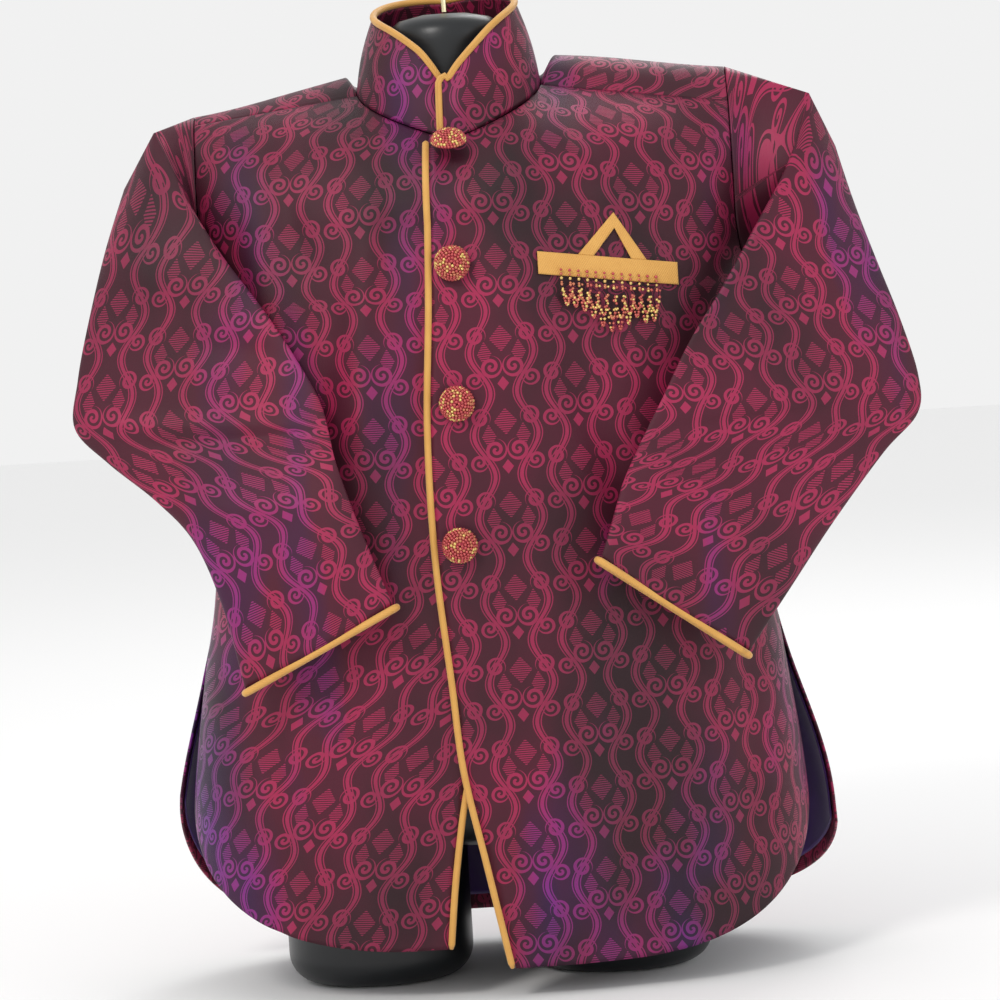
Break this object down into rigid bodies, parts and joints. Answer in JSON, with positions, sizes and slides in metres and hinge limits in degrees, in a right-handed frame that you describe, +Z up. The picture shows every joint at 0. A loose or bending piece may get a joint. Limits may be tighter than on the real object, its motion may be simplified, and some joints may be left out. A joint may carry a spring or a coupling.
{
  "type": "sherwani coat on a limbless dress form",
  "caption": "Child's brocade sherwani coat with a band collar, gold piping, domed buttons and a bead-trimmed pocket, standing on a limbless hanging dress form.",
  "frame": {"origin": "bottom centre of the bounding box, on the surface the form stands on", "axes": "+Z up, the coat's front towards -Y, the wearer's left towards +X"},
  "size_m": [0.473, 0.2084, 0.6256],
  "materials": {
    "brocade": "two-tone jacquard, magenta and purple shot with black, silky",
    "lining_satin": "purple satin",
    "gold_piping": "matte gold cloth over cord",
    "beads": "red and gold seed beads",
    "form_plastic": "black, slightly glossy",
    "hook_wire": "plated wire"
  },
  "bodies": {
    "root": {"front_left": "brocade", "front_right": "brocade", "back": "brocade", "collar": "brocade", "sleeve_left": "brocade", "sleeve_right": "brocade", "back_lining": "lining_satin", "piping_front_left": "gold_piping", "piping_front_right": "gold_piping", "piping_collar": "gold_piping", "piping_cuff_left": "gold_piping", "piping_cuff_right": "gold_piping", "pocket_strip": "gold_piping", "pocket_peak": "gold_piping", "bead_fringe": "beads", "button_collar": "beads", "button_upper": "beads", "button_middle": "beads", "button_lower": "beads", "dress_form": "form_plastic", "hanging_hook": "hook_wire"}
  },
  "joints": []
}
